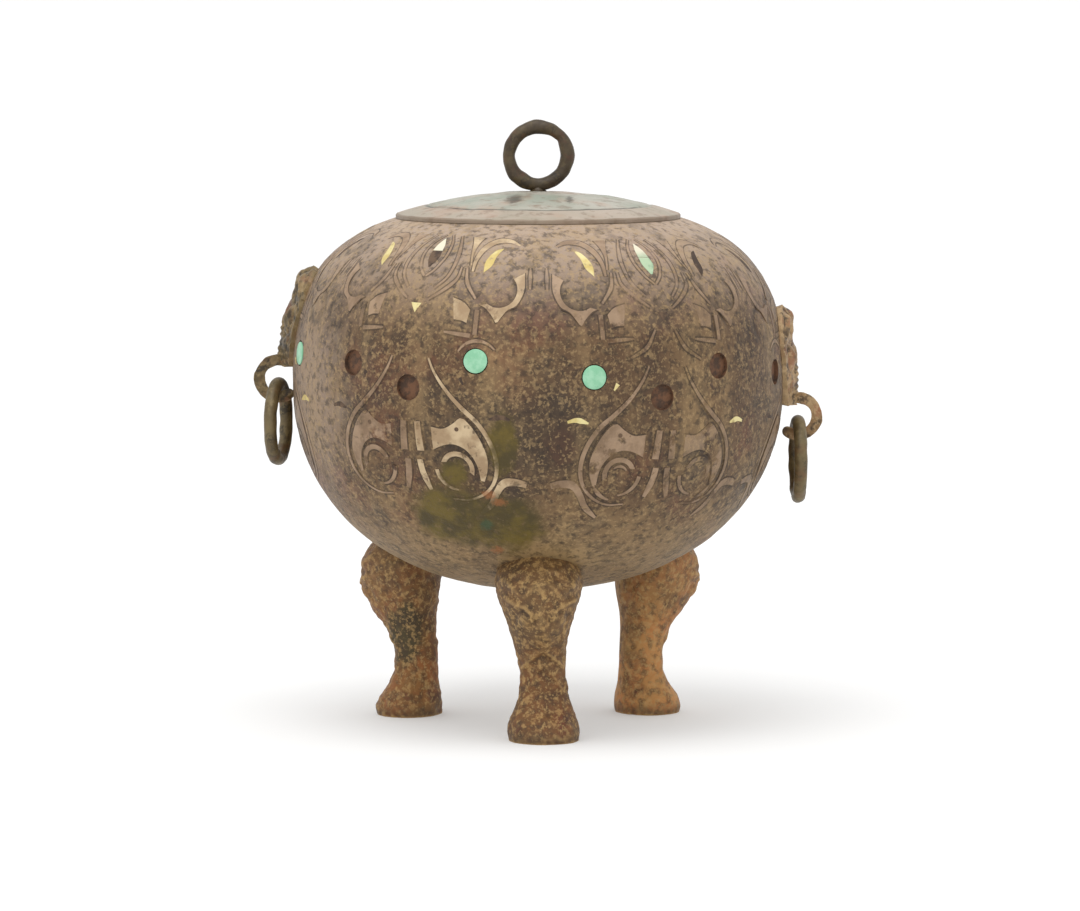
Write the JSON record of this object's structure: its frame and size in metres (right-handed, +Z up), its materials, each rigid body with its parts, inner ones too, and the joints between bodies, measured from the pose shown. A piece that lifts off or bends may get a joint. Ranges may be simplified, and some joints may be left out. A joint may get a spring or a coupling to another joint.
{
  "type": "bronze dui",
  "caption": "Globular hollow bronze food vessel on cabriole mask legs, with a lift-off ringed lid, mask handles with swinging drop rings and round turquoise inlays.",
  "frame": {"origin": "on the floor, under the axis of the bowl and its lid", "axes": "+Z up; the two mask handles lie on the X axis, the higher one at -X; the front leg and the side that faces the viewer are at -Y"},
  "size_m": [0.1618, 0.1396, 0.1721],
  "materials": {
    "bronze_brown": "matt brown patinated cast bronze with earthy corrosion and flush metal inlay",
    "bronze_grey": "matt grey green patinated cast bronze",
    "bronze_olive": "worn olive brown cast bronze",
    "turquoise": "opaque pale turquoise stone, low polish"
  },
  "bodies": {
    "vessel": {"vessel": "bronze_brown", "lid": "bronze_grey", "mask_left": "bronze_olive", "mask_right": "bronze_olive", "turquoise_1": "turquoise", "turquoise_2": "turquoise", "turquoise_3": "turquoise", "turquoise_4": "turquoise", "turquoise_5": "turquoise", "turquoise_6": "turquoise", "turquoise_7": "turquoise"},
    "ring_left": {"ring_left": "bronze_olive"},
    "ring_right": {"ring_right": "bronze_olive"}
  },
  "joints": [
    {"name": "ring_left_swing", "type": "hinge", "parent": "vessel", "child": "ring_left", "pos_m": [-0.074, 0, 0.0969], "axis": [0.1736, 0.9848, 0], "range_deg": [-9, 165]},
    {"name": "ring_right_swing", "type": "hinge", "parent": "vessel", "child": "ring_right", "pos_m": [0.074, 0, 0.0861], "axis": [0.0349, -0.9994, 0], "range_deg": [-12, 165]}
  ]
}
